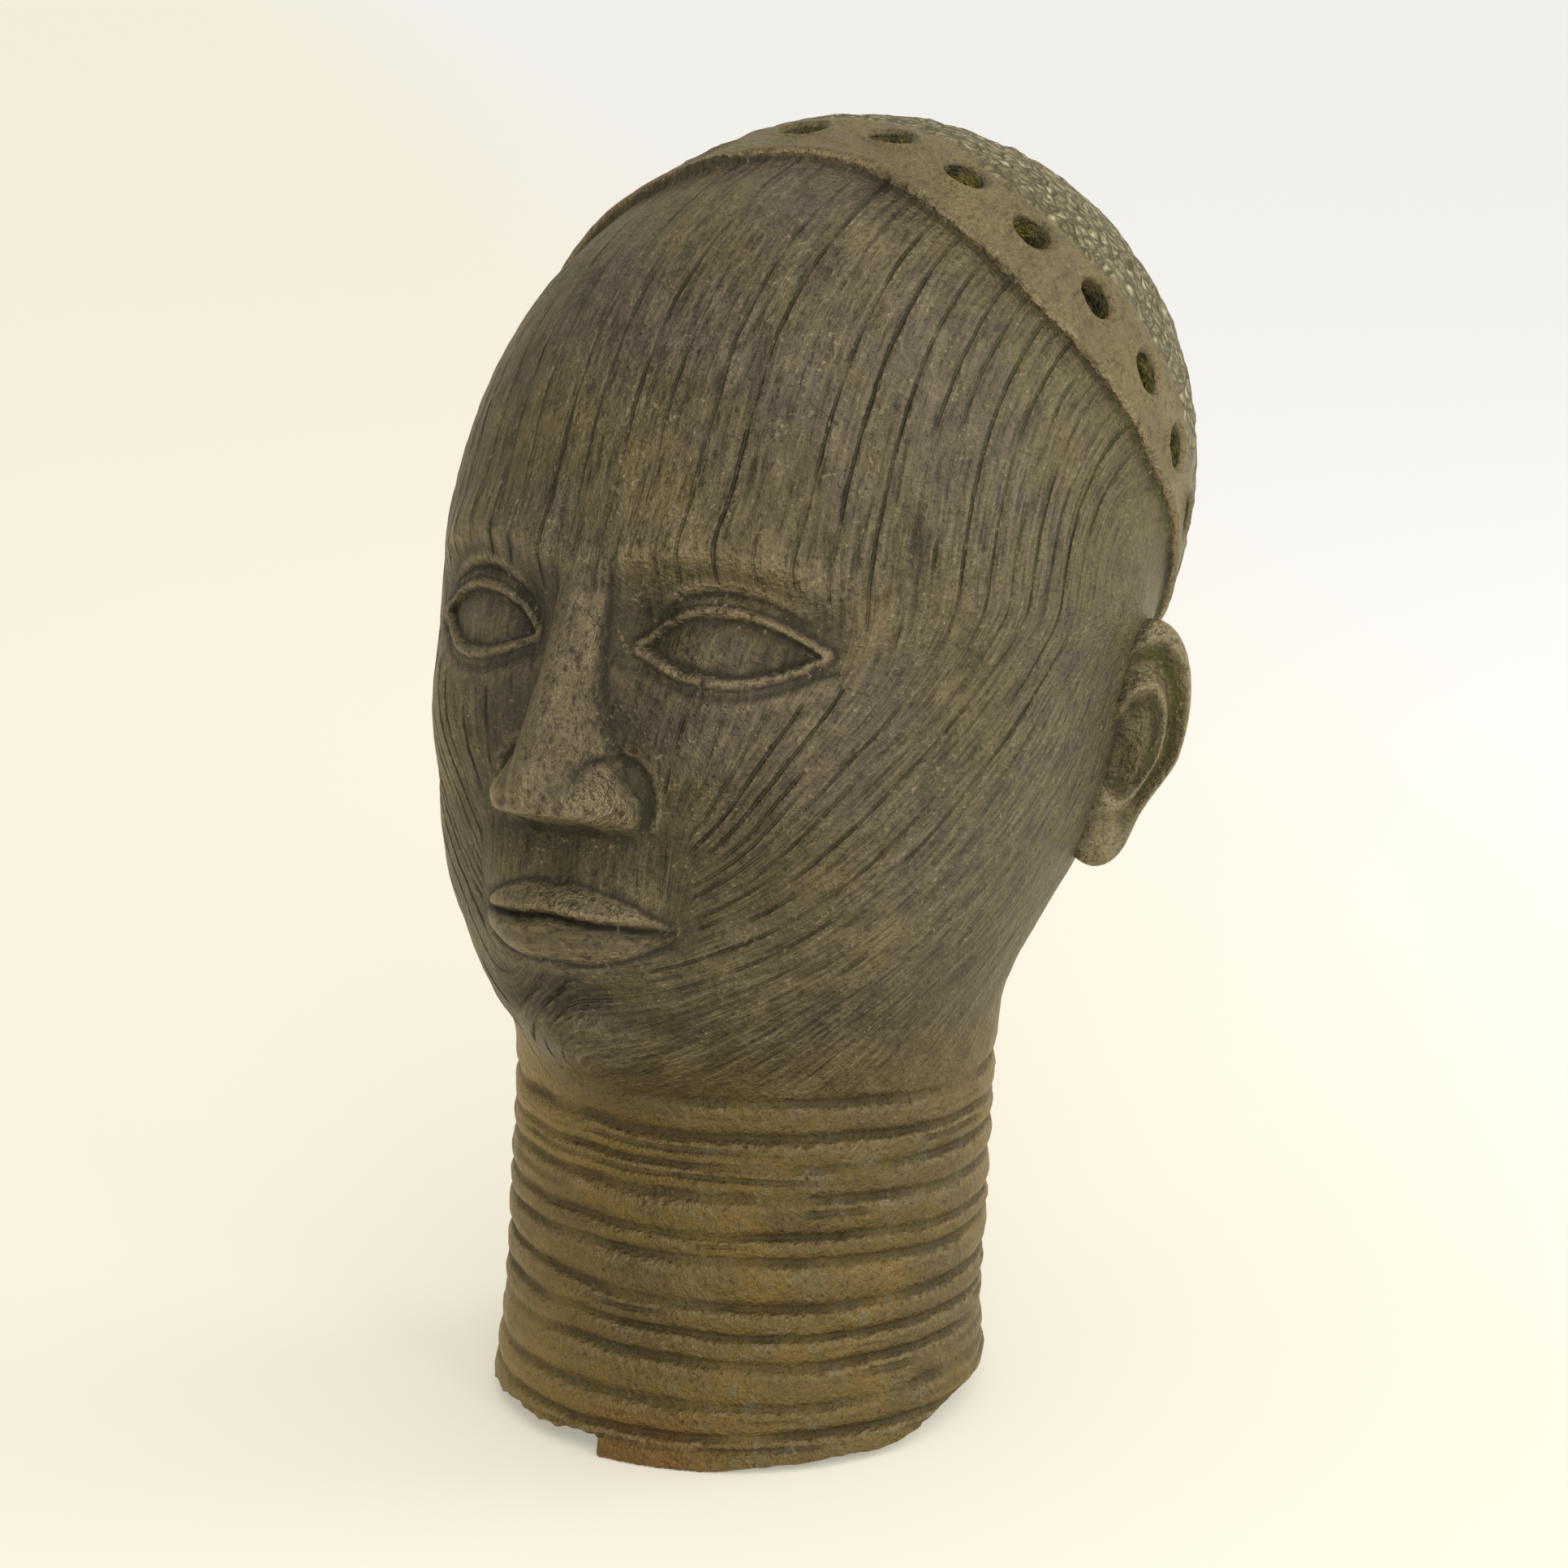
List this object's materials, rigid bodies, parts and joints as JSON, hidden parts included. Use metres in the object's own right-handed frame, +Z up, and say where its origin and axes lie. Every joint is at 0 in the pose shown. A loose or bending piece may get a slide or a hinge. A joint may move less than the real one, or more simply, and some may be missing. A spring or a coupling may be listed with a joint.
{
  "type": "cast bronze head",
  "caption": "Life-size hollow cast head with a ringed neck, striated face, close cap of curls and a row of small holes behind its edge.",
  "frame": {"origin": "under the middle of the head's box, level with the rim of the neck", "axes": "+Z up to the crown, face towards -Y, +X to the face's own left"},
  "size_m": [0.1686, 0.234, 0.2997],
  "materials": {
    "bronze": "dark brown bronze patina, semi-matte, warmer and golden at the foot of the neck, greyish green over the cap"
  },
  "bodies": {
    "root": {"head": "bronze"}
  },
  "joints": []
}
